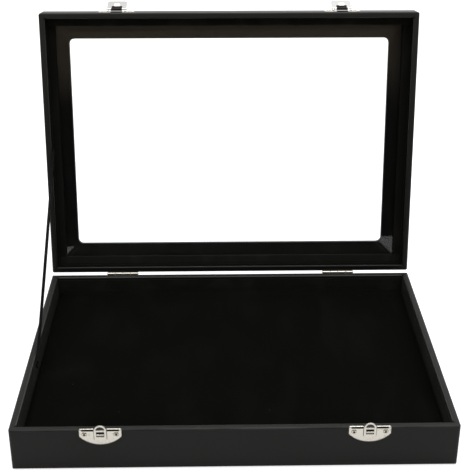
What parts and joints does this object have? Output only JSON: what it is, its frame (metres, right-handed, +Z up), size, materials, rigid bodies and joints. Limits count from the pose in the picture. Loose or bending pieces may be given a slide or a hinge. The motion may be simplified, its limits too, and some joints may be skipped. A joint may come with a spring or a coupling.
{
  "type": "pin display case",
  "caption": "Leatherette-covered display case with a velvet pin pad, a hinged glass lid held by a ribbon stay, and snap hasps.",
  "frame": {"origin": "middle of the underside of the base, on the surface it stands on", "axes": "+X to the right along the hinge line, -Y to the front where the clasps are, +Z up"},
  "size_m": [0.35, 0.3181, 0.2922],
  "materials": {
    "leatherette": "fine grained black leatherette",
    "velvet": "short black velvet",
    "pad_velvet": "short black velvet over foam",
    "lining_paper": "flocked black paper",
    "black_board": "fibreboard faced with black paper",
    "fibreboard": "raw fibreboard",
    "clear_glass": "clear float glass",
    "ribbon": "black woven ribbon",
    "spring_steel": "blackened spring steel",
    "staple_wire": "galvanised wire",
    "nickel": "satin nickel plate"
  },
  "bodies": {
    "base": {"base_front_board": "fibreboard", "base_rear_board": "fibreboard", "base_left_board": "fibreboard", "base_right_board": "fibreboard", "base_bottom_board": "fibreboard", "base_wrap": "leatherette", "base_bottom_sheet": "lining_paper", "base_lining": "velvet", "pad_board": "fibreboard", "pin_pad": "pad_velvet", "left_hinge_base_leaf": "nickel", "right_hinge_base_leaf": "nickel", "left_hinge_pin": "nickel", "right_hinge_pin": "nickel", "base_hinge_screws": "nickel", "left_catch_plate": "nickel", "right_catch_plate": "nickel", "left_catch_nose": "nickel", "right_catch_nose": "nickel", "catch_screws": "nickel", "stay_strap": "ribbon", "strap_base_staple": "staple_wire"},
    "lid": {"lid_front_board": "fibreboard", "lid_rear_board": "fibreboard", "lid_left_board": "fibreboard", "lid_right_board": "fibreboard", "lid_window_panel": "black_board", "lid_wrap": "leatherette", "lid_lining": "velvet", "glass_pane": "clear_glass", "front_glass_strip": "velvet", "rear_glass_strip": "velvet", "left_glass_strip": "velvet", "right_glass_strip": "velvet", "left_hinge_lid_leaf": "nickel", "right_hinge_lid_leaf": "nickel", "lid_hinge_screws": "nickel", "left_hasp_plate": "nickel", "right_hasp_plate": "nickel", "left_hasp_pin": "nickel", "right_hasp_pin": "nickel", "hasp_screws": "nickel", "strap_lid_staple": "staple_wire"},
    "left_hasp": {"left_hasp_flap": "nickel", "left_hasp_spring": "spring_steel"},
    "right_hasp": {"right_hasp_flap": "nickel", "right_hasp_spring": "spring_steel"}
  },
  "joints": [
    {"name": "lid_hinge", "type": "hinge", "parent": "base", "child": "lid", "pos_m": [0, 0.1268, 0.0377], "axis": [1, 0, 0], "range_deg": [0, 99.2], "deforming": ["stay_strap"]},
    {"name": "left_hasp_hinge", "type": "hinge", "parent": "lid", "child": "left_hasp", "pos_m": [-0.104, 0.17404, 0.28807], "axis": [1, 0, 0], "range_deg": [-23, 155]},
    {"name": "right_hasp_hinge", "type": "hinge", "parent": "lid", "child": "right_hasp", "pos_m": [0.104, 0.17404, 0.28807], "axis": [1, 0, 0], "range_deg": [-24, 154]}
  ]
}
